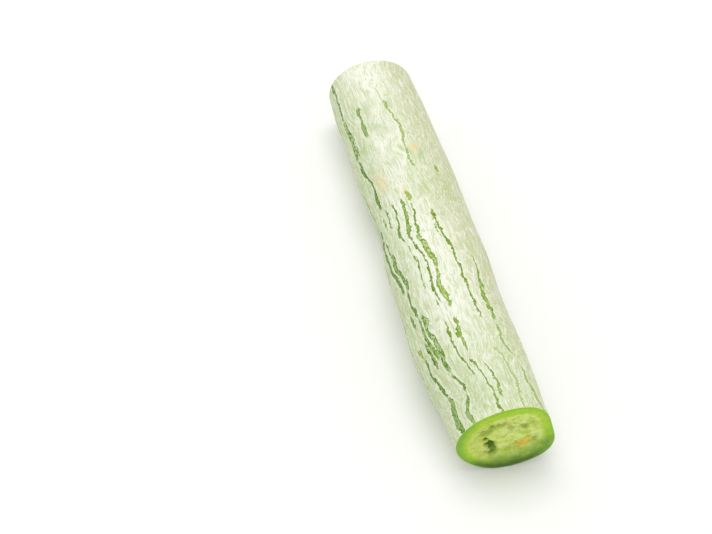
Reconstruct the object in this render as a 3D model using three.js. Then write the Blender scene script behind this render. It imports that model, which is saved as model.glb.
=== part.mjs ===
// A section of snake gourd: a long, nearly straight fruit, cut across at both ends.
//
// It grew as one piece, so it is one closed solid. It lies on its side along Y, with the broader
// cut face at -Y. The origin is at the bottom centre of its bounding box, +Z is up, and every
// length is in millimetres. Angles round the fruit are degrees above +X, seen from the -Y end.

import * as THREE from "three";

// ---- Driving dimensions ----

// Between the middles of the two cut faces.
const LENGTH = 255;

// The fruit's radius and its sideways bow, at places evenly spaced from the -Y cut to the +Y cut.
const RADII = [25.1, 27.1, 27.4, 27.1, 25.9, 26.1, 25.9, 24.3];
const BOW = [0, -1.9, -2.8, -1.3, 0.4, 0, -0.5, 0];

// Each knife cut is a plane, a little off square: millimetres along Y for each one along X.
const NEAR_CUT_SLOPE = -0.08;
const FAR_CUT_SLOPE = -0.14;

// The narrow bevel between the skin and each cut face.
const RIM_BEVEL = 0.6;

// The section isn't a true circle. Low rounded lobes run along the fruit: how many there are round
// it, their height as a share of the radius, and where one of them stands.
const LOBES = [
  { count: 3, height: 0.034, angle: 70 },
  { count: 4, height: 0.024, angle: 62 },
  { count: 5, height: 0.014, angle: 48 },
];
const LOBES_LEFT_AT_FAR_CUT = 0.39;

// Slow swells along the fruit, highest on its -X side and a little out of step on the other.
const SWELL_HEIGHT = 0.6;
const SWELL_LENGTH = 64;
const SWELL_START = 3.1;
const SWELL_LAG = 0.48;
const SWELL_SHARE = 0.6;
const SWELL_LEAN = 0.4;

// How far its own weight has flattened the side that it rests on.
const SETTLE = 0.35;

// How finely the solid is faceted: round the fruit, along it, and across each cut face.
const SIDES = 48;
const RINGS = 40;
const FACE_RINGS = 3;

// ---- Shape ----

// Evenly spaced values as a smooth curve over t, from 0 at the -Y cut to 1 at the +Y cut.
function smoothThrough(values) {
  const curve = new THREE.SplineCurve(values.map((value, i) => new THREE.Vector2(i, value)));
  return (t) => curve.getPoint(t).y;
}

const radiusAlong = smoothThrough(RADII);
const bowAlong = smoothThrough(BOW);

// The distance from the fruit's axis to its skin, at t along it and at an angle round it.
function skinRadius(t, angle) {
  const fade = THREE.MathUtils.lerp(1, LOBES_LEFT_AT_FAR_CUT, t);
  let lobes = 0;
  for (const { count, height, angle: crest } of LOBES) {
    lobes += height * fade * Math.cos(count * (angle - THREE.MathUtils.degToRad(crest)));
  }
  const wave = (2 * Math.PI * t * LENGTH) / SWELL_LENGTH + SWELL_START;
  const swell = Math.sin(wave + SWELL_LAG * Math.cos(angle));
  const swellHeight = SWELL_HEIGHT * (SWELL_SHARE - SWELL_LEAN * Math.cos(angle));
  return radiusAlong(t) * (1 + lobes) + swell * swellHeight;
}

// A point at t along the fruit, at an angle round it, and at a share of the way out to the skin.
function pointInFruit(t, angle, share) {
  const underside = -Math.PI / 2;
  const axisHeight = skinRadius(t, underside) - SETTLE;
  const radius = skinRadius(t, angle) * share;
  const x = bowAlong(t) + radius * Math.cos(angle);
  const z = Math.max(axisHeight + radius * Math.sin(angle), 0);
  const nearCut = -LENGTH / 2 + NEAR_CUT_SLOPE * x;
  const farCut = LENGTH / 2 + FAR_CUT_SLOPE * x;
  return new THREE.Vector3(x, THREE.MathUtils.lerp(nearCut, farCut, t), z);
}

// The outline that is turned into a plain drum of radius 1 and length 1: out across the -Y face,
// along the side, and back across the +Y face.
function drumOutline() {
  const bevelOut = 1 - RIM_BEVEL / RADII[0];
  const bevelAlong = RIM_BEVEL / LENGTH;
  const outline = [];
  for (let i = 0; i <= FACE_RINGS; i++) {
    outline.push(new THREE.Vector2((bevelOut * i) / FACE_RINGS, 0));
  }
  for (let i = 0; i <= RINGS; i++) {
    outline.push(new THREE.Vector2(1, THREE.MathUtils.lerp(bevelAlong, 1 - bevelAlong, i / RINGS)));
  }
  for (let i = FACE_RINGS; i >= 0; i--) {
    outline.push(new THREE.Vector2((bevelOut * i) / FACE_RINGS, 1));
  }
  return outline;
}

// The drum, with each of its points carried to its place in the fruit.
function gourdGeometry() {
  const geometry = new THREE.LatheGeometry(drumOutline(), SIDES);
  const points = geometry.attributes.position;
  for (let i = 0; i < points.count; i++) {
    const share = Math.hypot(points.getX(i), points.getZ(i));
    const angle = Math.atan2(points.getZ(i), points.getX(i));
    const place = pointInFruit(points.getY(i), angle, share);
    points.setXYZ(i, place.x, place.y, place.z);
  }
  geometry.computeBoundingBox();
  const middle = geometry.boundingBox.getCenter(new THREE.Vector3());
  geometry.translate(-middle.x, -middle.y, 0);
  geometry.computeVertexNormals();
  return geometry;
}

// ---- The part ----

const paleSkin = new THREE.MeshStandardMaterial({
  color: 0xd3dcb4,
  roughness: 0.55,
  metalness: 0,
});

const snakeGourd = new THREE.Mesh(gourdGeometry(), paleSkin);
snakeGourd.name = "snake_gourd";

const part = new THREE.Group();
part.name = "snake_gourd_section";
part.add(snakeGourd);

export default part;
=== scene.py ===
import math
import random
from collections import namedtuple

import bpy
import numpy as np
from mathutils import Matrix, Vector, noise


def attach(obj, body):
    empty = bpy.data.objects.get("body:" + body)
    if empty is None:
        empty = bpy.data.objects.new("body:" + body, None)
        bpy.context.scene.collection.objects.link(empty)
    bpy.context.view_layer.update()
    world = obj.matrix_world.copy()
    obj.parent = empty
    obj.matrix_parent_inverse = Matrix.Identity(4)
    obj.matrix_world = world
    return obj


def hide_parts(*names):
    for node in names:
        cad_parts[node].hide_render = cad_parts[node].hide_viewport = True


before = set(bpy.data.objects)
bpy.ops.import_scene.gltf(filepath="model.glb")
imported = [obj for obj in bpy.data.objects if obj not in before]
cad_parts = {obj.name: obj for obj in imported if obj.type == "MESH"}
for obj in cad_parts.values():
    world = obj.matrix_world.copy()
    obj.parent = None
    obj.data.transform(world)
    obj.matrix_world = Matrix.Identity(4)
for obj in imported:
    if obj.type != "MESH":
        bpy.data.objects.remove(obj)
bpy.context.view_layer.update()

# A section of snake gourd, cut across at both ends and lying on its side: its looks.
#
# The form repeats the CAD solid's driving dimensions and adds what the solid leaves plain: fine
# lumps in the skin, and rind, pulp, seeds and seed hollows in both cut faces. Lengths are
# millimetres until the mesh is made, when MM turns them into metres. Angles round the fruit are
# degrees above +X, seen from the near end, which is at -Y.

MM = 0.001

# ---- The fruit's form ----

LENGTH = 255.0  # between the middles of the two cut faces
RADII = [25.1, 27.1, 27.4, 27.1, 25.9, 26.1, 25.9, 24.3]  # evenly spaced, near cut to far cut
BOW = [0, -1.9, -2.8, -1.3, 0.4, 0, -0.5, 0]  # sideways, at the same places
NEAR_CUT_SLOPE = -0.08  # along Y for each millimetre along X
FAR_CUT_SLOPE = -0.14
LOBES = [(3, 0.034, 70), (4, 0.024, 62), (5, 0.014, 48)]  # how many, share of the radius, angle
LOBES_LEFT_AT_FAR_CUT = 0.39
SWELL_HEIGHT, SWELL_LENGTH, SWELL_START, SWELL_LAG = 0.6, 64.0, 3.1, 0.48
SWELL_SHARE, SWELL_LEAN = 0.6, 0.4
SETTLE = 0.35  # how far the underside is pressed flat

RIM = 0.45  # radius of the rounded edge between the skin and each cut face
LUMPS = [(19.0, 0.32), (6.5, 0.09)]  # size and height of the skin's fine lumps
LUMPS_FADE = 6.0  # how far from a cut they begin to die away

# ---- The mesh's fineness ----

COLUMNS = 240  # round the skin
ROWS = 300  # along the skin
RIM_ROWS = 3
FACE_ROWS = 48  # from the middle of a cut face to its rim
INNER_COLUMNS = 15  # round the innermost ring of a cut face, doubling outwards
SEAM = -90.0  # the mesh's seam runs along the underside


def smooth_through(values, t):
    """Evenly spaced values as a smooth curve over t, from 0 at the near cut to 1 at the far cut."""
    values = np.asarray(values, float)
    last = len(values) - 1
    place = np.clip(t, 0, 1) * last
    i = np.minimum(place.astype(int), last - 1)
    w = place - i
    before, start, end, after = (values[np.clip(i + k, 0, last)] for k in (-1, 0, 1, 2))
    leave, arrive = (end - before) / 2, (after - start) / 2
    bend = (2 * start - 2 * end + leave + arrive) * w + (3 * end - 3 * start - 2 * leave - arrive)
    return (bend * w + leave) * w + start


def skin_radius(t, angle):
    """From the fruit's axis to its skin."""
    fade = 1 + (LOBES_LEFT_AT_FAR_CUT - 1) * t
    lobes = sum(h * np.cos(n * (angle - math.radians(crest))) for n, h, crest in LOBES)
    wave = 2 * np.pi * t * LENGTH / SWELL_LENGTH + SWELL_START + SWELL_LAG * np.cos(angle)
    swell = SWELL_HEIGHT * (SWELL_SHARE - SWELL_LEAN * np.cos(angle)) * np.sin(wave)
    return smooth_through(RADII, t) * (1 + fade * lobes) + swell


def axis_height(t):
    return skin_radius(t, np.full_like(t, -np.pi / 2)) - SETTLE


def points_in_fruit(t, angle, share, lumps):
    """Points at t along the fruit, at an angle round it and at a share of the way out to the skin."""
    radius = (skin_radius(t, angle) + lumps) * share
    x = smooth_through(BOW, t) + radius * np.cos(angle)
    z = np.maximum(axis_height(t) + radius * np.sin(angle), 0)
    near, far = -LENGTH / 2 + NEAR_CUT_SLOPE * x, LENGTH / 2 + FAR_CUT_SLOPE * x
    return np.stack([x, near + (far - near) * t, z], axis=-1)


def middle_of_form():
    """The middle of the form's box, which the CAD solid has over its origin."""
    t, angle = np.meshgrid(np.linspace(0, 1, 200), np.radians(np.arange(0, 360, 2)))
    points = points_in_fruit(t, angle, 1.0, 0.0).reshape(-1, 3)
    middle = (points.min(0) + points.max(0)) / 2
    return np.array([middle[0], middle[1], 0.0])


def lumps_at(t, angle):
    """The skin's fine lumps, which die away at both cuts so that the rims stay true."""
    radius = smooth_through(RADII, t)
    places = np.stack([radius * np.cos(angle), t * LENGTH, radius * np.sin(angle)], axis=-1)
    height = np.zeros(len(t))
    for size, most in LUMPS:
        height += most * np.array([noise.noise(Vector(p) / size) for p in places])
    return height * np.clip(np.minimum(t, 1 - t) * LENGTH / LUMPS_FADE, 0, 1)


# ---- What shows in the cut faces ----

# A seed's hollow, or the seed that still sits in one: its middle from the face's middle, right
# and up as seen from outside, its length and width, its tilt in degrees, its depth below the
# pulp, and whether it is a seed.
Pocket = namedtuple("Pocket", "right up length width tilt depth seed")

NEAR_POCKETS = [
    Pocket(-11.0, 1.4, 3.4, 2.8, 0, 1.8, False),
    Pocket(-8.4, -3.4, 7.6, 5.4, -48, 2.4, False),
    Pocket(-7.0, -8.8, 8.6, 6.6, -80, 2.0, False),
    Pocket(-10.4, 7.4, 13.0, 6.6, 44, 1.0, False),
    Pocket(-3.2, 11.6, 10.0, 5.2, -6, 1.0, False),
    Pocket(1.2, 8.8, 7.0, 3.8, -52, 0.8, False),
    Pocket(8.6, 8.4, 8.0, 5.6, -14, 1.1, False),
    Pocket(13.2, 10.6, 5.4, 3.2, -30, 0.7, False),
    Pocket(8.4, -4.9, 12.5, 7.6, 42, 0.8, True),
    Pocket(1.5, -9.5, 7.0, 4.0, 12, 0.8, False),
    Pocket(15.0, -3.0, 6.0, 3.6, 70, 0.7, False),
]
FAR_POCKETS = [
    Pocket(9.0, 3.4, 9.0, 5.2, 62, 2.0, False),
    Pocket(7.4, -3.8, 4.0, 3.0, 20, 1.6, False),
    Pocket(-9.4, 5.0, 12.0, 7.0, -48, 0.8, True),
    Pocket(-2.6, 11.2, 7.0, 4.0, 20, 1.1, False),
    Pocket(3.6, 11.4, 6.0, 3.6, -30, 0.9, False),
    Pocket(-7.2, -7.6, 8.0, 4.8, 40, 1.4, False),
    Pocket(4.4, -10.2, 8.0, 4.4, -30, 1.0, False),
]
PULP_EDGE = 0.80  # where the pulp meets the rind, as a share of the radius
PULP_EDGE_SLOPE = 0.08  # the share of the radius over which the pulp drops below the rind
PULP_DISH = 0.5  # the pulp shrinks back a little below the rind
PULP_GRAIN = 0.22
SEED_HEIGHT = 1.3
SEED_FILL = 0.84  # the share of its hollow that a seed fills
GRAIN_SIZE, DRIFT_SIZE = 2.4, 5.0  # of the fine and the broad unevenness of the pulp
GRAIN_LAYER, DRIFT_LAYER = 7.0, 40.0  # keep the two noises apart
FRAY_GRAIN, FRAY_DRIFT = 0.6, 0.45  # how far each frays a hollow's edge
WALL_FOOT, WALL_TOP = 0.3, 1.3  # a hollow's wall, where its drawn edge is 1
# Painted shade in the hollows grows with their depth, up to DEEP.
DEEP = 1.6  # a hollow this deep is as dark as any


def smoothstep(low, high, value):
    s = np.clip((value - low) / (high - low), 0, 1)
    return s * s * (3 - 2 * s)


def pocket_reach(pocket, right, up):
    """0 in the middle of a pocket and 1 at its edge."""
    tilt = math.radians(pocket.tilt)
    away_right, away_up = right - pocket.right, up - pocket.up
    along = away_right * math.cos(tilt) + away_up * math.sin(tilt)
    across = away_up * math.cos(tilt) - away_right * math.sin(tilt)
    return np.hypot(along / (pocket.length / 2), across / (pocket.width / 2))


def face_relief(pockets, right, up, share):
    """How far a cut face stands out, how much painted shade its hollows get, and how much of it is seed."""
    grain = np.array([noise.noise(Vector((r, u, GRAIN_LAYER)) / GRAIN_SIZE) for r, u in zip(right, up)])
    drift = np.array([noise.noise(Vector((r, u, DRIFT_LAYER)) / DRIFT_SIZE) for r, u in zip(right, up)])
    pulp = 1 - smoothstep(PULP_EDGE - PULP_EDGE_SLOPE, PULP_EDGE, share)
    height = -PULP_DISH * pulp + PULP_GRAIN * grain * pulp
    hollow, seed = np.zeros(len(right)), np.zeros(len(right))
    for pocket in pockets:
        ragged = pocket_reach(pocket, right, up) + FRAY_GRAIN * grain + FRAY_DRIFT * drift
        inside = 1 - smoothstep(WALL_FOOT, WALL_TOP, ragged)
        height -= pocket.depth * inside
        if pocket.seed:
            bare = pocket_reach(pocket, right, up) / SEED_FILL + 0.12 * drift
            height += SEED_HEIGHT * np.sqrt(np.clip(1 - bare**2, 0, 1))
            seed = np.maximum(seed, 1 - smoothstep(0.55, 1.15, bare))
        hollow = np.maximum(hollow, inside * min(1, pocket.depth / DEEP))
    return height, hollow, seed


# ---- Stripes ----

# A stripe's route is a list of places: millimetres from the near cut, degrees round the fruit and
# width in millimetres. A route that meets a cut runs a little past it. The strength is how fully
# the stripe shows, and the green is 0 for lime and 1 for the darkest. LINE is one solid line,
# DOUBLE opens along its middle into two, SPECKLED is half open, and DOTS comes and goes.
LINE, DOUBLE, SPECKLED, DOTS = range(4)
OPEN_MIDDLE = {LINE: 0.25, DOUBLE: 0.8, SPECKLED: 0.55, DOTS: 0.0}
BROKEN = {LINE: 0.25, DOUBLE: 0.3, SPECKLED: 0.4, DOTS: 1.0}
Stripe = namedtuple("Stripe", "look strength green route")

STRIPES = [
    # The long stripe down the left, and what runs beside it.
    Stripe(SPECKLED, 1.0, 0.9, [(257, 160, 2.2), (250, 161, 2.4), (243, 158, 1.8), (232, 159, 1.6),
        (221, 162, 2.0)]),
    Stripe(DOUBLE, 1.0, 0.9, [(223, 162, 3.0), (214, 160, 3.6), (206, 158, 3.6), (196, 159, 3.6),
        (188, 159, 2.6)]),
    Stripe(LINE, 1.0, 0.95, [(190, 160, 2.2), (180, 158, 2.2), (173, 155, 2.2), (168, 151, 1.8),
        (163, 153, 2.0), (157, 156, 2.6), (150, 155, 1.8)]),
    Stripe(DOTS, 0.9, 0.8, [(147, 156, 1.8), (142, 157, 2.0), (134, 154, 1.8)]),
    Stripe(LINE, 0.8, 0.8, [(209, 154, 1.4), (198, 154, 1.3), (189, 154, 1.1)]),
    Stripe(LINE, 0.8, 0.7, [(223, 131, 1.8), (217, 133, 2.2), (210, 132, 2.0), (203, 133, 2.2),
        (197, 131, 1.6)]),
    Stripe(SPECKLED, 0.9, 0.7, [(150, 148, 1.4), (141, 147, 1.8), (132, 146, 1.4)]),
    # Two that cross the left side and run together.
    Stripe(LINE, 1.0, 0.95, [(143, 172, 2.0), (124, 170, 2.0), (115, 167, 2.0), (106, 165, 2.2),
        (101, 162, 2.2), (96, 158, 2.2), (89, 157, 2.0)]),
    Stripe(LINE, 0.9, 0.8, [(131, 163, 1.0), (121, 160, 1.4), (115, 156, 1.6)]),
    Stripe(SPECKLED, 1.0, 0.9, [(118, 157, 2.2), (112, 155, 2.8), (107, 157, 3.2), (102, 153, 2.8),
        (97, 149, 2.6), (88, 149, 2.4)]),
    Stripe(LINE, 1.0, 0.85, [(91, 150, 2.0), (82, 151, 2.0), (76, 150, 2.0), (69, 147, 1.6)]),
    Stripe(LINE, 0.9, 0.9, [(77, 160, 1.6), (71, 157, 1.8), (64, 156, 1.3)]),
    # The speckled cluster below them, and the two that reach the near cut.
    Stripe(DOUBLE, 1.0, 0.85, [(71, 143, 2.0), (65, 138, 2.4), (59, 141, 2.2), (52, 136, 2.6),
        (44, 137, 3.0), (36, 138, 2.6), (30, 136, 2.2)]),
    Stripe(SPECKLED, 1.0, 0.85, [(70, 146, 1.6), (64, 145, 2.2), (58, 147, 2.0), (51, 145, 2.6),
        (45, 142, 2.8), (39, 142, 2.2)]),
    Stripe(SPECKLED, 1.0, 0.85, [(55, 151, 1.2), (49, 149, 1.8), (42, 148, 2.0), (35, 149, 1.4)]),
    Stripe(LINE, 1.0, 0.65, [(31, 136, 2.2), (26, 131, 2.0), (22, 128, 2.0), (17, 129, 2.0)]),
    Stripe(SPECKLED, 0.9, 0.8, [(18, 129, 2.0), (13, 133, 2.4), (8, 138, 2.8), (4, 137, 2.6),
        (-1, 134, 2.4)]),
    Stripe(LINE, 0.8, 0.25, [(56, 167, 1.6), (52, 162, 2.6), (46, 161, 1.8)]),
    Stripe(LINE, 1.0, 0.85, [(48, 161, 1.8), (43, 159, 2.0), (37, 162, 2.4), (31, 158, 2.2),
        (25, 154, 2.2), (20, 151, 2.2)]),
    Stripe(SPECKLED, 1.0, 0.85, [(23, 152, 2.2), (18, 151, 2.6), (14, 155, 3.2), (8, 157, 3.6),
        (-1, 153, 3.4)]),
    # The bundle down the middle.
    Stripe(LINE, 1.0, 0.5, [(150, 137, 1.0), (143, 134, 1.6), (133, 135, 1.6), (127, 138, 1.5),
        (121, 136, 1.3), (116, 133, 1.1)]),
    Stripe(DOTS, 0.9, 0.5, [(117, 133, 0.9), (109, 130, 1.0), (102, 126, 1.1), (91, 126, 1.0),
        (81, 127, 0.9)]),
    Stripe(SPECKLED, 1.0, 0.55, [(150, 123, 1.2), (142, 122, 2.4), (134, 122, 2.2), (127, 124, 2.4),
        (120, 125, 2.4), (114, 123, 1.8)]),
    Stripe(LINE, 1.0, 0.5, [(117, 125, 1.4), (108, 120, 1.3), (103, 116, 1.2), (92, 115, 1.2),
        (84, 117, 1.4), (77, 116, 1.2), (70, 114, 1.0)]),
    Stripe(DOTS, 0.9, 0.5, [(75, 119, 1.1), (68, 118, 1.1)]),
    Stripe(LINE, 0.8, 0.0, [(154, 114, 1.2), (148, 112, 1.8), (143, 111, 1.3)]),
    Stripe(LINE, 1.0, 0.45, [(144, 111, 1.0), (134, 113, 1.2), (124, 115, 1.3), (117, 115, 1.2)]),
    Stripe(DOUBLE, 1.0, 0.3, [(120, 115, 2.0), (113, 113, 2.4), (105, 110, 3.0), (98, 106, 2.6),
        (92, 106, 2.0)]),
    Stripe(DOUBLE, 1.0, 0.2, [(95, 106, 1.8), (86, 108, 2.2), (82, 110, 2.8), (76, 106, 2.6),
        (70, 106, 2.0), (65, 105, 1.5)]),
    Stripe(LINE, 1.0, 0.3, [(60, 119, 0.9), (50, 119, 1.2), (40, 119, 1.3), (34, 118, 1.2),
        (29, 113, 1.1), (23, 110, 0.9)]),
    Stripe(SPECKLED, 1.0, 0.3, [(61, 107, 1.0), (54, 107, 2.0), (49, 109, 2.8), (42, 108, 1.8),
        (36, 109, 1.1)]),
    # The ones along the top and over to the right.
    Stripe(LINE, 0.7, 0.1, [(222, 97, 0.9), (211, 93, 1.1), (203, 90, 1.4), (195, 89, 1.6),
        (188, 92, 1.4), (180, 94, 1.4), (171, 93, 1.1), (165, 91, 0.8)]),
    Stripe(LINE, 0.8, 0.2, [(168, 68, 1.2), (160, 67, 1.4)]),
    Stripe(LINE, 1.0, 0.3, [(136, 92, 1.2), (124, 91, 1.3), (114, 88, 1.1), (104, 84, 1.1), (93, 82, 1.1),
        (75, 80, 1.0), (54, 81, 0.8)]),
    Stripe(DOTS, 0.8, 0.3, [(128, 93, 1.1), (120, 94, 1.3), (111, 91, 0.9)]),
    Stripe(LINE, 0.9, 0.35, [(99, 65, 0.9), (91, 64, 1.3), (83, 65, 1.6), (74, 65, 1.5)]),
    Stripe(SPECKLED, 1.0, 0.3, [(79, 66, 1.6), (70, 68, 2.2), (65, 67, 2.0), (60, 66, 2.2), (52, 69, 1.4)]),
    Stripe(LINE, 0.7, 0.15, [(52, 69, 1.0), (45, 69, 1.2), (39, 70, 1.2), (34, 66, 1.2), (30, 62, 1.1)]),
    Stripe(LINE, 0.9, 0.35, [(35, 111, 0.8), (29, 105, 1.0), (23, 101, 1.0), (15, 99, 1.2),
        (10, 101, 1.3), (5, 101, 1.1), (-1, 98, 0.9)]),
    Stripe(SPECKLED, 0.9, 0.35, [(31, 98, 0.7), (25, 94, 0.9), (17, 91, 1.1), (12, 93, 1.6), (7, 93, 1.0)]),
    Stripe(LINE, 0.5, 0.1, [(38, 81, 0.9), (32, 76, 1.0), (25, 72, 1.0), (12, 72, 0.9), (-1, 74, 0.9)]),
    Stripe(SPECKLED, 0.8, 0.2, [(26, 59, 1.1), (18, 57, 1.7), (12, 54, 2.0), (6, 52, 2.0), (-1, 48, 1.7)]),
]
STRIPE_SEED = 11
HIDDEN_FROM, HIDDEN_TO = 178, 402  # the degrees that the list above leaves bare
HIDDEN_LANES = 15
LANE_STARTS, LANE_END = (-30, 25), 8  # millimetres past the far cut, and from the near one
LANE_GAPS = (-8, 26)  # between one stripe and the next in a lane
BROAD_WIDTHS, FINE_WIDTHS = (2.0, 3.2), (0.9, 1.7)
ROUTE_STEPS, ROUTE_SWING = (9, 22), 4  # millimetres and degrees from one place to the next
TAPER = 3.0  # over which a stripe comes to its point
TAPERED_WIDTH = 0.4  # the share of its width that is left at the point
NO_STRIPE = 50.0  # the distance given to skin that no stripe reaches


def hidden_stripes():
    """More stripes of the same kinds, in lanes round the side that the list leaves bare."""
    draw = random.Random(STRIPE_SEED)
    lane_width = (HIDDEN_TO - HIDDEN_FROM) / HIDDEN_LANES
    stripes = []
    for lane in range(HIDDEN_LANES):
        along = LENGTH + draw.uniform(*LANE_STARTS)
        while along > LANE_END:
            angle = HIDDEN_FROM + (lane + draw.uniform(0.15, 0.85)) * lane_width
            look = draw.choice([LINE, LINE, LINE, DOUBLE, SPECKLED, DOTS])
            widest = draw.uniform(*(BROAD_WIDTHS if look in (DOUBLE, SPECKLED) else FINE_WIDTHS))
            step = draw.uniform(*ROUTE_STEPS)
            route = []
            for _ in range(draw.randint(3, 5)):
                route.append((along, angle, widest * draw.uniform(0.55, 1.0)))
                along -= step
                angle += draw.uniform(-ROUTE_SWING, ROUTE_SWING)
            stripes.append(Stripe(look, draw.uniform(0.6, 1.0), draw.uniform(0.4, 0.95), route))
            along -= draw.uniform(*LANE_GAPS)
    return stripes


def stripe_fields(along, angle):
    """What the skin's shader needs at each corner of each skin face: along and angle have one row
    for each face and one column for each corner. A face's corners all measure from the stripe
    nearest to the face, so the values run straight across it."""
    stripes = STRIPES + hidden_stripes()
    radius = smooth_through(RADII, along / LENGTH)
    mid_along, mid_angle = along.mean(1), angle.mean(1)
    nearest = np.full(len(along), NO_STRIPE)
    owner = np.full(len(along), -1)
    for k, stripe in enumerate(stripes):
        offset, width, ends = from_stripe(stripe, mid_along, mid_angle, radius.mean(1))
        gap = np.where(ends > 0, np.abs(offset) - width / 2, NO_STRIPE)
        owner = np.where(gap < nearest, k, owner)
        nearest = np.minimum(gap, nearest)
    line = np.zeros(along.shape + (3,))
    line[..., 0] = NO_STRIPE
    line[..., 1] = 1
    kind = np.zeros(along.shape + (3,))
    for k, stripe in enumerate(stripes):
        mine = owner == k
        offset, width, ends = from_stripe(stripe, along[mine], angle[mine], radius[mine])
        line[mine] = np.stack([offset, width / 2, stripe.strength * ends], axis=-1)
        kind[mine] = (OPEN_MIDDLE[stripe.look], BROKEN[stripe.look], stripe.green)
    return line, kind


def from_stripe(stripe, along, angle, radius):
    """Signed distance across from a stripe, its width there, and 1 along it but 0 past its ends."""
    places = sorted(stripe.route)
    at, turns, widths = (np.array([place[i] for place in places], float) for i in range(3))
    turned = np.radians((angle - np.interp(along, at, turns) + 180) % 360 - 180)
    start = 1.0 if at[0] <= 0 else smoothstep(0, TAPER, along - at[0])
    end = 1.0 if at[-1] >= LENGTH else smoothstep(0, TAPER, at[-1] - along)
    inside = (along >= at[0]) & (along <= at[-1])
    ends = start * end * inside
    width = np.interp(along, at, widths) * (TAPERED_WIDTH + (1 - TAPERED_WIDTH) * ends)
    return turned * radius, width, ends


# ---- Patches ----

# Soft patches of green under the pale bloom, and a few small ochre scars: millimetres from the
# near cut, degrees round, half its length and half its width in millimetres, and how strong.
GREEN_PATCHES = [
    (218, 120, 6, 4, 0.7), (206, 117, 7, 6, 0.9), (216, 90, 6, 5, 0.5), (193, 143, 6, 4, 1.0),
    (176, 80, 5, 4, 0.7), (172, 112, 3, 2, 0.5), (186, 98, 26, 9, 0.4), (150, 84, 20, 12, 0.35),
    (129, 79, 2, 3, 0.6), (141, 62, 4, 2, 0.5), (17, 75, 3, 2, 0.6), (30, 124, 16, 7, 0.35),
    (12, 112, 9, 5, 0.4), (58, 92, 18, 7, 0.3),
]
OCHRE_SCARS = [(180, 84, 2.5, 2, 1.0), (165, 139, 6, 4, 0.6), (152, 113, 4, 1.6, 0.8)]
PATCH_SEED = 5
HIDDEN_PATCHES, HIDDEN_SCARS = 14, 4
PATCH_LENGTH, PATCH_WIDTH = 14, 7  # half sizes of the largest hidden patch
SCAR_LENGTH, SCAR_WIDTH = 4, 2.5
PATCH_CLEAR = 5  # a hidden patch's middle is at least this far from both cuts


def hidden_patches(draw, count, longest, widest):
    patches = []
    for _ in range(count):
        place = (draw.uniform(PATCH_CLEAR, LENGTH - PATCH_CLEAR), draw.uniform(HIDDEN_FROM, HIDDEN_TO))
        size = (draw.uniform(0.4, 1.0) * longest, draw.uniform(0.4, 1.0) * widest)
        patches.append(place + size + (draw.uniform(0.3, 0.9),))
    return patches


def patch_field(patches, along, angle):
    field = np.zeros(len(along))
    radius = smooth_through(RADII, along / LENGTH)
    for at, turn, half_length, half_width, strength in patches:
        across = np.radians((angle - turn + 180) % 360 - 180) * radius
        reach = ((along - at) / half_length) ** 2 + (across / half_width) ** 2
        field += strength * np.exp(-reach)
    return np.clip(field, 0, 1)


# ---- The mesh ----

# The bake's map: the skin fills a band along the bottom, and the cut faces stand above it.
MAP_EDGE = 0.01
MAP_SKIN_TOP = 0.66
MAP_FACE_RADIUS = 0.145
MAP_FACES_UP = 0.83
MAP_NEAR_FACE, MAP_FAR_FACE = 0.17, 0.49

Ring = namedtuple("Ring", "t share count place")


def rings_of_fruit():
    """The rings of points from the middle of the near face to the middle of the far face."""
    face_edge = 1 - RIM / RADII[0]
    face = []
    for i in range(FACE_ROWS + 1):
        doublings = min(int(math.log2(i)), int(math.log2(COLUMNS / INNER_COLUMNS))) if i else 0
        face.append((face_edge * i / FACE_ROWS, INNER_COLUMNS * 2**doublings if i else 1))
    rim = []
    for i in range(1, RIM_ROWS):
        turn = math.pi / 2 * i / RIM_ROWS
        rim.append((RIM * (1 - math.cos(turn)) / LENGTH, 1 - RIM * (1 - math.sin(turn)) / RADII[0]))
    rings = [Ring(0.0, share, count, "near face") for share, count in face]
    rings += [Ring(t, share, COLUMNS, "near rim") for t, share in rim]
    for t in np.linspace(RIM / LENGTH, 1 - RIM / LENGTH, ROWS + 1):
        rings.append(Ring(float(t), 1.0, COLUMNS, "skin"))
    rings += [Ring(1 - t, share, COLUMNS, "far rim") for t, share in reversed(rim)]
    rings += [Ring(1.0, share, count, "far face") for share, count in reversed(face)]
    return rings


def faces_between(inner, outer, inner_start, outer_start):
    """Faces from a ring to the next one out, which has as many points or twice as many, as lists
    of (point, column in its own ring). Columns aren't wrapped, so that a map can tell the two
    sides of the seam apart."""

    def corner(start, count, column):
        return (start + column % count, column)

    faces = []
    for i in range(inner):
        a, b = corner(inner_start, inner, i), corner(inner_start, inner, i + 1)
        if inner == outer:
            c, d = corner(outer_start, outer, i + 1), corner(outer_start, outer, i)
            faces.append([a, b, c, d])
        else:
            c, d, e = (corner(outer_start, outer, 2 * i + k) for k in (0, 1, 2))
            faces += [[a, d, c], [a, b, d], [b, e, d]]
    return faces


def fruit_faces(rings, starts):
    """All the fruit's faces, wound to face out, each with the index of its first ring."""
    faces = []
    for k in range(len(rings) - 1):
        here, there = rings[k], rings[k + 1]
        if here.count == 1:
            ring = [(starts[k + 1] + i % there.count, i) for i in range(there.count + 1)]
            faces += [([(starts[k], i), ring[i], ring[i + 1]], k) for i in range(there.count)]
        elif there.count == 1:
            ring = [(starts[k] + i % here.count, i) for i in range(here.count + 1)]
            faces += [([(starts[k + 1], i), ring[i + 1], ring[i]], k) for i in range(here.count)]
        elif here.count <= there.count:
            found = faces_between(here.count, there.count, starts[k], starts[k + 1])
            faces += [(face[::-1], k) for face in found]
        else:
            found = faces_between(there.count, here.count, starts[k + 1], starts[k])
            faces += [(face, k) for face in found]
    return faces


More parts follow.
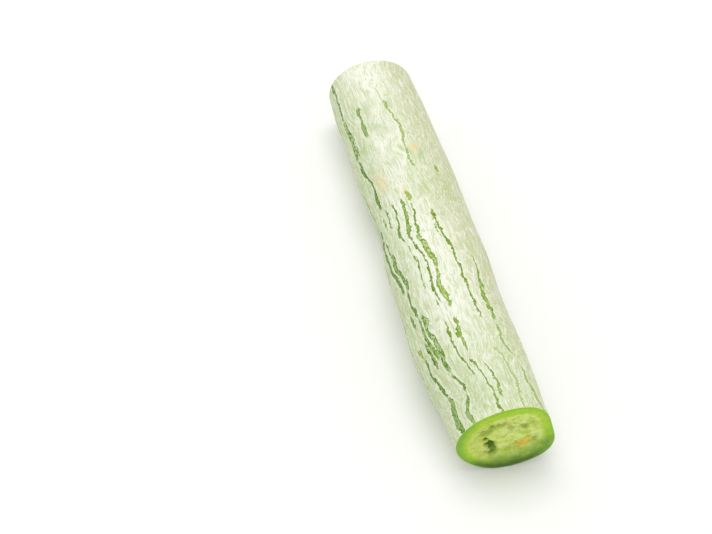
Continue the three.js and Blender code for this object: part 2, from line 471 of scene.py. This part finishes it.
def build_fruit():
    """The gourd as one closed mesh, with the fields that its two materials read."""
    rings = rings_of_fruit()
    counts = [ring.count for ring in rings]
    starts = np.concatenate([[0], np.cumsum(counts)])
    t = np.repeat([ring.t for ring in rings], counts)
    share = np.repeat([ring.share for ring in rings], counts)
    turns = np.concatenate([SEAM + 360 * np.arange(ring.count) / ring.count for ring in rings])
    angle = np.radians(turns)
    middle = middle_of_form()
    points = points_in_fruit(t, angle, share, lumps_at(t, angle)) - middle

    # The cut faces: relief, and what the flesh's shader reads.
    cut = np.zeros((len(points), 3))
    hollow, seed = np.zeros(len(points)), np.zeros(len(points))
    for place, pockets, outward in (("near", NEAR_POCKETS, -1), ("far", FAR_POCKETS, 1)):
        mine = np.concatenate([np.full(r.count, r.place.startswith(place)) for r in rings])
        radius = skin_radius(t[mine], angle[mine]) * share[mine]
        right, up = -outward * radius * np.cos(angle[mine]), radius * np.sin(angle[mine])
        height, hollow[mine], seed[mine] = face_relief(pockets, right, up, share[mine])
        points[mine, 1] += outward * height
        cut[mine, 0] = share[mine] * np.cos(angle[mine])
        cut[mine, 1] = share[mine] * np.sin(angle[mine])

    faces = fruit_faces(rings, starts)
    mesh = bpy.data.meshes.new("snake_gourd")
    mesh.from_pydata((points * MM).tolist(), [], [[point for point, _ in face] for face, _ in faces])
    mesh.shade_smooth()
    on_skin = np.array([rings[k].place == "skin" and rings[k + 1].place == "skin" for _, k in faces])
    mesh.polygons.foreach_set("material_index", np.where(on_skin, 0, 1).astype(np.int32))

    add_field(mesh, "cut", "FLOAT_VECTOR", "POINT", cut)
    add_field(mesh, "hollow", "FLOAT", "POINT", hollow)
    add_field(mesh, "seed", "FLOAT", "POINT", seed)
    draw = random.Random(PATCH_SEED)
    green = GREEN_PATCHES + hidden_patches(draw, HIDDEN_PATCHES, PATCH_LENGTH, PATCH_WIDTH)
    ochre = OCHRE_SCARS + hidden_patches(draw, HIDDEN_SCARS, SCAR_LENGTH, SCAR_WIDTH)
    add_field(mesh, "green", "FLOAT", "POINT", patch_field(green, t * LENGTH, turns))
    add_field(mesh, "ochre", "FLOAT", "POINT", patch_field(ochre, t * LENGTH, turns))

    # What each corner of each face knows: its place along and round the skin.
    corner_points = np.array([point for face, _ in faces for point, _ in face])
    corner_columns = np.array([column for face, _ in faces for _, column in face])
    face_sizes = np.array([len(face) for face, _ in faces])
    corner_skin = np.repeat(on_skin, face_sizes)
    along = t[corner_points[corner_skin]].reshape(-1, 4) * LENGTH
    turn = SEAM + 360 * corner_columns[corner_skin].reshape(-1, 4) / COLUMNS
    line, kind = stripe_fields(along, turn)
    for name, values in (("stripe", line), ("stripe_kind", kind)):
        field = np.zeros((len(corner_points), 3))
        field[corner_skin] = values.reshape(-1, 3)
        add_field(mesh, name, "FLOAT_VECTOR", "CORNER", field)

    is_far = np.repeat([rings[k].t > 0.5 for _, k in faces], face_sizes)
    add_bake_map(mesh, corner_skin, along.ravel(), turn.ravel(), cut[corner_points], is_far)
    mesh.validate()
    return bpy.data.objects.new("snake_gourd_fruit", mesh)


def add_field(mesh, name, kind, domain, values):
    field = mesh.attributes.new(name, kind, domain)
    key = "vector" if kind == "FLOAT_VECTOR" else "value"
    field.data.foreach_set(key, np.asarray(values, np.float32).ravel())


def add_bake_map(mesh, on_skin, along, turn, cut, is_far):
    """Lays the skin out flat, and each cut face as a disc."""
    places = np.zeros((len(on_skin), 2))
    span = 1 - 2 * MAP_EDGE
    places[on_skin, 0] = MAP_EDGE + span * along / LENGTH
    places[on_skin, 1] = MAP_EDGE + (MAP_SKIN_TOP - MAP_EDGE) * (turn - SEAM) / 360
    disc = ~on_skin
    centre = np.where(is_far[disc], MAP_FAR_FACE, MAP_NEAR_FACE)
    side = np.where(is_far[disc], -1, 1)
    places[disc, 0] = centre + side * MAP_FACE_RADIUS * cut[disc, 0]
    places[disc, 1] = MAP_FACES_UP + MAP_FACE_RADIUS * cut[disc, 1]
    layer = mesh.uv_layers.new(name="OFBake")
    layer.data.foreach_set("uv", places.astype(np.float32).ravel())


# ---- Materials ----


class Paint:
    """Short names for building one material's nodes. Values may be numbers, colours or sockets."""

    def __init__(self, name):
        self.material = bpy.data.materials.new(name)
        self.material.use_nodes = True
        self.tree = self.material.node_tree
        self.shader = self.tree.nodes["Principled BSDF"]

    def node(self, kind, inputs=None, **settings):
        node = self.tree.nodes.new("ShaderNode" + kind)
        for key, value in settings.items():
            setattr(node, key, value)
        for key, value in (inputs or {}).items():
            self.feed(node.inputs[key], value)
        return node

    def feed(self, socket, value):
        if isinstance(value, bpy.types.NodeSocket):
            self.tree.links.new(value, socket)
        elif socket.type == "RGBA":
            socket.default_value = (*value, 1.0)
        else:
            socket.default_value = value

    def math(self, operation, *values, clamp=False):
        node = self.node("Math", dict(enumerate(values)), operation=operation, use_clamp=clamp)
        return node.outputs[0]

    def vector(self, operation, *values):
        node = self.node("VectorMath", dict(enumerate(values)), operation=operation)
        return node.outputs["Value" if operation == "LENGTH" else "Vector"]

    def blend(self, factor, first, second):
        node = self.node("Mix", data_type="RGBA", clamp_factor=True)
        for key, value in (("Factor_Float", factor), ("A_Color", first), ("B_Color", second)):
            self.feed(next(s for s in node.inputs if s.identifier == key), value)
        return next(s for s in node.outputs if s.identifier == "Result_Color")

    def step(self, value, low, high, to_low=0.0, to_high=1.0):
        """Rises smoothly from to_low to to_high as value goes from low to high."""
        inputs = {"Value": value, "From Min": low, "From Max": high, "To Min": to_low, "To Max": to_high}
        node = self.node("MapRange", inputs, interpolation_type="SMOOTHSTEP")
        return node.outputs["Result"]

    def noise(self, place, size, detail=2.0, roughness=0.5):
        inputs = {"Vector": place, "Scale": 1 / size, "Detail": detail, "Roughness": roughness}
        return self.node("TexNoise", inputs).outputs["Fac"]

    def cells(self, place, size):
        """The distance to the middle of the nearest cell."""
        return self.node("TexVoronoi", {"Vector": place, "Scale": 1 / size}).outputs["Distance"]

    def field(self, name, output="Fac"):
        return self.node("Attribute", attribute_name=name).outputs[output]

    def parts(self, vector):
        return self.node("SeparateXYZ", {"Vector": vector}).outputs

    def bump(self, height, distance, strength):
        inputs = {"Height": height, "Distance": distance, "Strength": strength}
        return self.node("Bump", inputs).outputs["Normal"]

    def place_mm(self):
        """Where the point is in the object's own frame, in millimetres."""
        here = self.node("TexCoord").outputs["Object"]
        return self.vector("MULTIPLY", here, (1 / MM, 1 / MM, 1 / MM))


def skin_material():
    """Pale green skin under a whitish bloom, with fine lengthwise fibres and green stripes."""
    p = Paint("snake_gourd_skin")
    here = p.place_mm()
    x, y, _ = p.parts(here)

    # The fibres wander a little as they run along the fruit.
    wander = p.node("TexNoise", {"Vector": here, "Scale": 1 / 18, "Detail": 1.0}).outputs["Color"]
    wander = p.vector("MULTIPLY", p.vector("SUBTRACT", wander, (0.5, 0.5, 0.5)), (7.0, 0.0, 7.0))
    flowing = p.vector("ADD", here, wander)
    fibres = p.noise(p.vector("MULTIPLY", flowing, (1.0, 0.11, 1.0)), 0.85, 2.0, 0.65)
    broad_fibres = p.noise(p.vector("MULTIPLY", flowing, (1.0, 0.10, 1.0)), 2.2, 3.0, 0.6)
    grain = p.noise(p.vector("MULTIPLY", here, (1.0, 0.55, 1.0)), 0.8, 2.0, 0.6)
    mottle = p.noise(p.vector("MULTIPLY", flowing, (1.0, 0.32, 1.0)), 5.0, 4.0, 0.62)
    regions = p.noise(p.vector("MULTIPLY", here, (1.0, 0.5, 1.0)), 26.0, 2.0)

    # Bloom over green, thinner in some places than in others. Towards both sides it darkens: partly the
    # skin's own tint, creamier on the +X side and greener on the other, and partly painted shade where the
    # sides turn from the light. It is also darker and greener towards the near cut.
    colour = p.blend(p.step(regions, 0.35, 0.65), (0.75, 0.79, 0.59), (0.85, 0.87, 0.73))
    # Painted shade, olive-cream, on the +X side.
    colour = p.blend(p.step(x, -4.0, 17.0, 0.0, 0.95), colour, (0.51, 0.54, 0.28))
    # Painted shade, grey-green, on the -X side.
    colour = p.blend(p.step(x, -7.0, -26.0, 0.0, 0.9), colour, (0.42, 0.53, 0.22))
    colour = p.blend(p.step(y, -50.0, -125.0, 0.0, 0.75), colour, (0.50, 0.61, 0.30))
    colour = p.blend(p.step(mottle, 0.46, 0.72, 0.0, 0.22), colour, (0.60, 0.65, 0.42))
    colour = p.blend(p.step(broad_fibres, 0.45, 0.68, 0.0, 0.3), colour, (0.90, 0.90, 0.83))
    colour = p.blend(p.step(fibres, 0.48, 0.36, 0.0, 0.5), colour, (0.48, 0.56, 0.31))
    colour = p.blend(p.step(fibres, 0.50, 0.62, 0.0, 0.5), colour, (0.92, 0.90, 0.84))
    colour = p.blend(p.step(grain, 0.50, 0.66, 0.0, 0.4), colour, (0.93, 0.88, 0.84))
    spots = p.noise(p.vector("MULTIPLY", here, (1.0, 0.45, 1.0)), 2.6, 2.0)
    colour = p.blend(p.step(spots, 0.58, 0.70, 0.0, 0.3), colour, (0.54, 0.60, 0.28))
    threads = p.noise(p.vector("MULTIPLY", flowing, (1.0, 0.05, 1.0)), 0.9, 1.0)
    colour = p.blend(p.step(threads, 0.58, 0.68, 0.0, 0.6), colour, (0.44, 0.54, 0.22))

    patchy = p.math("MULTIPLY", p.field("green"), p.step(mottle, 0.38, 0.6, 0.15, 1.0))
    colour = p.blend(p.math("MULTIPLY", patchy, 0.75), colour, (0.38, 0.50, 0.19))
    scar = p.math("MULTIPLY", p.field("ochre"), p.step(grain, 0.3, 0.6, 0.5, 1.0))
    colour = p.blend(p.math("MULTIPLY", scar, 0.85), colour, (0.78, 0.60, 0.22))

    # Stripes: their edges wander, and they break up into speckles.
    offset, half_width, strength = p.parts(p.field("stripe", "Vector"))
    open_middle, broken, green = p.parts(p.field("stripe_kind", "Vector"))
    sway = p.noise(p.vector("MULTIPLY", here, (1.0, 0.5, 1.0)), 3.4, 2.0)
    jag = p.noise(p.vector("MULTIPLY", here, (1.0, 0.8, 1.0)), 0.9, 1.0)
    offset = p.math("MULTIPLY_ADD", p.math("SUBTRACT", sway, 0.5), 4.2, offset)
    offset = p.math("ABSOLUTE", p.math("MULTIPLY_ADD", p.math("SUBTRACT", jag, 0.5), 1.5, offset))
    depth = p.math("SUBTRACT", half_width, offset)
    body = p.step(depth, -0.08, 0.2)
    specks = p.step(p.noise(p.vector("MULTIPLY", here, (1.0, 0.38, 1.0)), 0.8, 1.0), 0.45, 0.54)
    heart = p.step(depth, 0.36, 0.62)
    opened = p.math("MULTIPLY", heart, open_middle)
    open_heart = p.math("MULTIPLY", opened, p.math("SUBTRACT", 1.0, specks))
    gaps = p.step(p.noise(p.vector("MULTIPLY", here, (1.0, 0.55, 1.0)), 1.3, 2.0), 0.40, 0.52)
    missing = p.math("MULTIPLY", broken, p.math("SUBTRACT", 1.0, gaps))
    missing = p.math("MAXIMUM", missing, p.math("MULTIPLY", open_heart, 0.9))
    drawn = p.math("MULTIPLY", body, strength)
    ink = p.math("MULTIPLY", drawn, p.math("SUBTRACT", 1.0, missing), clamp=True)
    halo = p.math("MULTIPLY", p.step(depth, -1.5, -0.2), strength)
    colour = p.blend(p.math("MULTIPLY", halo, 0.4), colour, (0.86, 0.88, 0.76))
    veil = p.math("MULTIPLY", drawn, p.math("MULTIPLY_ADD", opened, -0.3, 0.75))
    colour = p.blend(veil, colour, (0.46, 0.62, 0.11))
    lime_or_dark = p.blend(green, (0.17, 0.29, 0.008), (0.005, 0.055, 0.004))
    light = p.step(p.noise(p.vector("MULTIPLY", here, (1.0, 0.4, 1.0)), 1.0, 1.0), 0.44, 0.62)
    light = p.math("MAXIMUM", p.math("MULTIPLY", light, 0.5), p.math("MULTIPLY", heart, 0.55))
    lit = p.blend(green, (0.33, 0.48, 0.010), (0.14, 0.37, 0.008))
    pigment = p.blend(light, lime_or_dark, lit)
    colour = p.blend(ink, colour, pigment)

    p.feed(p.shader.inputs["Base Color"], colour)
    p.feed(p.shader.inputs["Roughness"], p.step(grain, 0.3, 0.75, 0.5, 0.68))
    p.shader.inputs["Specular IOR Level"].default_value = 0.22
    relief = p.math("ADD", p.math("MULTIPLY", fibres, 0.5), p.math("MULTIPLY", grain, 0.35))
    relief = p.math("ADD", relief, p.math("MULTIPLY", mottle, 0.8))
    relief = p.math("SUBTRACT", relief, p.math("MULTIPLY", ink, 0.35))
    p.feed(p.shader.inputs["Normal"], p.bump(relief, 0.35 * MM, 0.6))
    return p.material


def flesh_material():
    """The cut faces: a thin green line of skin, lime rind, and moist pulp with seeds' hollows."""
    p = Paint("snake_gourd_flesh")
    here = p.place_mm()
    right, up, _ = p.parts(p.field("cut", "Vector"))
    flat = p.node("CombineXYZ", {"X": right, "Y": up}).outputs["Vector"]
    share = p.vector("LENGTH", flat)
    wobble = p.math("SUBTRACT", p.noise(here, 7.0, 3.0), 0.5)
    ring = p.math("MULTIPLY_ADD", wobble, 0.22, share)

    # Radial fibres: the noise runs round the face, and hardly changes on the way out.
    round_it = p.vector("MULTIPLY", p.vector("NORMALIZE", flat), (14.0, 14.0, 14.0))
    outwards = p.node("CombineXYZ", {"Z": p.math("MULTIPLY", share, 5.0)}).outputs["Vector"]
    fibres = p.noise(p.vector("ADD", round_it, outwards), 1.0, 3.0, 0.6)
    pulp_cells = p.cells(here, 1.9)
    clouds = p.noise(here, 3.6, 4.0, 0.6)
    fine = p.noise(here, 0.9, 3.0, 0.6)

    pulp = p.blend(p.step(clouds, 0.38, 0.62), (0.42, 0.57, 0.04), (0.68, 0.79, 0.19))
    pulp = p.blend(p.step(fibres, 0.48, 0.68, 0.0, 0.45), pulp, (0.72, 0.80, 0.26))
    pulp = p.blend(p.step(pulp_cells, 0.1, 0.45, 0.3, 0.0), pulp, (0.46, 0.62, 0.09))
    pulp = p.blend(p.step(wobble, 0.02, 0.2, 0.0, 0.5), pulp, (0.68, 0.74, 0.32))
    pulp = p.blend(p.step(right, 0.1, -0.7, 0.0, 0.45), pulp, (0.46, 0.57, 0.06))
    pulp = p.blend(p.step(fine, 0.5, 0.7, 0.0, 0.3), pulp, (0.80, 0.85, 0.45))
    # Painted shade in the seed hollows, darker where they are deeper.
    hollow = p.math("ADD", p.field("hollow"), p.math("MULTIPLY", p.math("SUBTRACT", fine, 0.5), 0.4))
    pulp = p.blend(p.step(hollow, 0.1, 0.6, 0.0, 0.6), pulp, (0.33, 0.43, 0.035))
    pulp = p.blend(p.step(hollow, 0.45, 0.9, 0.0, 0.85), pulp, (0.09, 0.20, 0.02))

    rind = p.blend(p.step(fibres, 0.35, 0.7), (0.35, 0.59, 0.010), (0.46, 0.68, 0.018))
    rind = p.blend(p.step(fine, 0.5, 0.72, 0.0, 0.3), rind, (0.32, 0.62, 0.02))
    colour = p.blend(p.step(ring, PULP_EDGE - 0.09, PULP_EDGE + 0.05), pulp, rind)
    from_seam = p.math("ABSOLUTE", p.math("SUBTRACT", ring, PULP_EDGE - 0.05))
    pale_seam = p.step(from_seam, 0.0, 0.06, 0.35, 0.0)
    colour = p.blend(pale_seam, colour, (0.66, 0.82, 0.12))

    # Darker green towards the lower side: partly the skin's green reaching into the rind, partly painted
    # shade.
    lean = p.math("ADD", p.math("MULTIPLY", up, 0.9), p.math("MULTIPLY", right, -0.42))
    low = p.step(p.math("MULTIPLY_ADD", wobble, 0.9, lean), -0.08, -0.7)
    outer = p.math("MULTIPLY", p.step(ring, 0.3, 0.8), p.step(clouds, 0.3, 0.6, 0.55, 1.0))
    shaded = p.math("MULTIPLY", low, outer)
    colour = p.blend(p.math("MULTIPLY", shaded, 0.9), colour, (0.12, 0.28, 0.012))
    # Painted shade: the bottom of the rim darkens almost to black.
    bottom_shade = p.math("MULTIPLY", p.step(up, -0.38, -0.82), p.step(share, 0.70, 0.97))
    colour = p.blend(p.math("MULTIPLY", bottom_shade, 0.92), colour, (0.035, 0.065, 0.012))
    flank = p.math("MULTIPLY", p.step(right, -0.55, -0.92), p.step(share, 0.76, 0.96))
    colour = p.blend(p.math("MULTIPLY", flank, 0.75), colour, (0.15, 0.38, 0.03))
    edge = p.step(share, 0.90, 0.99)
    colour = p.blend(p.math("MULTIPLY", edge, 0.55), colour, (0.19, 0.46, 0.015))

    seed = p.field("seed")
    seed_skin = p.blend(p.step(clouds, 0.4, 0.6), (0.68, 0.39, 0.02), (0.70, 0.57, 0.05))
    colour = p.blend(p.math("MULTIPLY", seed, 0.92), colour, seed_skin)

    p.feed(p.shader.inputs["Base Color"], colour)
    p.feed(p.shader.inputs["Roughness"], p.step(fine, 0.3, 0.7, 0.32, 0.55))
    p.shader.inputs["Specular IOR Level"].default_value = 0.3
    p.shader.inputs["Subsurface Weight"].default_value = 0.1
    p.shader.inputs["Subsurface Radius"].default_value = (0.9, 1.0, 0.3)
    p.shader.inputs["Subsurface Scale"].default_value = 1.5 * MM
    relief = p.math("ADD", p.math("MULTIPLY", fibres, 0.4), p.math("MULTIPLY", fine, 0.5))
    relief = p.math("SUBTRACT", relief, p.math("MULTIPLY", pulp_cells, 0.5))
    p.feed(p.shader.inputs["Normal"], p.bump(relief, 0.5 * MM, 0.6))
    return p.material


# ---- Stage ----

FLOOR_SIDE = 8.0
LENS, SENSOR = 92.0, 36.0
AZIMUTH, ELEVATION = math.radians(-15), math.radians(50)
DISTANCE = 0.983
AIM_HEIGHT = 0.0242
AIM_RIGHT, AIM_UP = 0.0395, 0.0086  # where the aim stands from the picture's middle


def add_floor():
    mesh = bpy.data.meshes.new("floor")
    half = FLOOR_SIDE / 2
    corners = [(-half, -half, 0), (half, -half, 0), (half, half, 0), (-half, half, 0)]
    mesh.from_pydata(corners, [], [(0, 1, 2, 3)])
    floor = bpy.data.objects.new("floor", mesh)
    bpy.context.scene.collection.objects.link(floor)
    material = bpy.data.materials.new("floor")
    material.use_nodes = True
    shader = material.node_tree.nodes["Principled BSDF"]
    shader.inputs["Base Color"].default_value = (0.93, 0.93, 0.92, 1)
    shader.inputs["Roughness"].default_value = 0.9
    mesh.materials.append(material)


def add_light(name, place, target, side, watts):
    light = bpy.data.lights.new(name, "AREA")
    light.shape = "SQUARE"
    light.size = side
    light.energy = watts
    lamp = bpy.data.objects.new(name, light)
    lamp.location = place
    lamp.rotation_euler = (Vector(target) - Vector(place)).to_track_quat("-Z", "Y").to_euler()
    bpy.context.scene.collection.objects.link(lamp)


def add_lights():
    middle = (0, 0, 0.02)
    add_light("key", (-0.02, 0.3, 1.6), middle, 1.2, 10)
    world = bpy.data.worlds.new("studio")
    world.use_nodes = True
    world.node_tree.nodes["Background"].inputs["Color"].default_value = (1.0, 1.0, 1.0, 1)
    world.node_tree.nodes["Background"].inputs["Strength"].default_value = 0.82
    bpy.context.scene.world = world


def add_camera():
    back = Vector((
        math.sin(AZIMUTH) * math.cos(ELEVATION),
        -math.cos(AZIMUTH) * math.cos(ELEVATION),
        math.sin(ELEVATION),
    ))
    right = Vector((math.cos(AZIMUTH), math.sin(AZIMUTH), 0))
    up = back.cross(right)
    data = bpy.data.cameras.new("camera")
    data.lens = LENS
    data.sensor_width = SENSOR
    camera = bpy.data.objects.new("camera", data)
    turn = Matrix((right, up, back)).transposed().to_4x4()
    place = Vector((0, 0, AIM_HEIGHT)) + back * DISTANCE - right * AIM_RIGHT - up * AIM_UP
    camera.matrix_world = Matrix.Translation(place) @ turn
    bpy.context.scene.collection.objects.link(camera)
    bpy.context.scene.camera = camera


# ---- The scene ----

add_camera()
gourd = build_fruit()
gourd.data.materials.append(skin_material())
gourd.data.materials.append(flesh_material())
bpy.context.scene.collection.objects.link(gourd)
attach(gourd, "root")
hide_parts("snake_gourd")

add_floor()
add_lights()
bpy.context.scene.view_settings.view_transform = "Standard"
